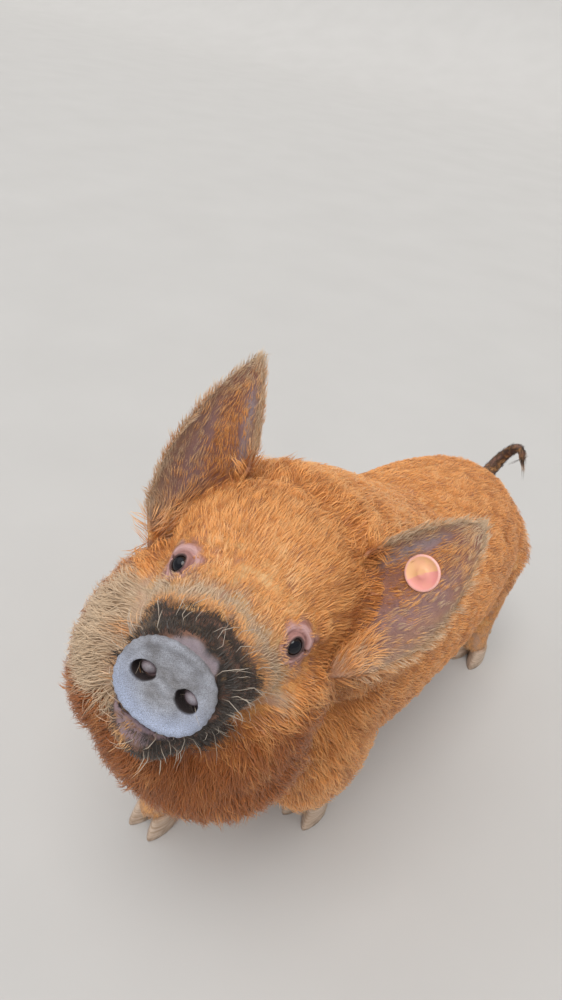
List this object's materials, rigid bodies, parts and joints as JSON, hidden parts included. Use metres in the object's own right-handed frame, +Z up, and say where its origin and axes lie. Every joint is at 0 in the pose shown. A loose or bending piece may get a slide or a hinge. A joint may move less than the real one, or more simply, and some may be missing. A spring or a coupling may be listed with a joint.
{
  "type": "domestic pig",
  "caption": "Life-size still model of a young, short-nosed, shaggy ginger pig, standing with its head raised and ears up, for display.",
  "frame": {"origin": "on the floor, under the centre of the whole pig's bounding box", "axes": "the pig faces -Y, its left side is +X, +Z is up; the floor is z = 0"},
  "size_m": [0.3634, 0.951, 0.7152],
  "materials": {
    "ginger_coat": "rough ginger hair over skin",
    "dark_coat": "thin dark hair",
    "horn": "satin tan hoof horn",
    "eye": "wet, glossy, dark",
    "tag_plastic": "plain pink plastic button"
  },
  "bodies": {
    "root": {"torso": "ginger_coat", "neck": "ginger_coat", "head": "ginger_coat", "ear_left": "ginger_coat", "ear_right": "ginger_coat", "leg_fore_left": "ginger_coat", "leg_fore_right": "ginger_coat", "leg_hind_left": "ginger_coat", "leg_hind_right": "ginger_coat", "tail": "dark_coat", "hoof_fore_left": "horn", "hoof_fore_right": "horn", "hoof_hind_left": "horn", "hoof_hind_right": "horn", "dewclaw_fore_left_a": "horn", "dewclaw_fore_left_b": "horn", "dewclaw_fore_right_a": "horn", "dewclaw_fore_right_b": "horn", "dewclaw_hind_left_a": "horn", "dewclaw_hind_left_b": "horn", "dewclaw_hind_right_a": "horn", "dewclaw_hind_right_b": "horn", "eye_left": "eye", "eye_right": "eye", "ear_tag": "tag_plastic"}
  },
  "joints": []
}
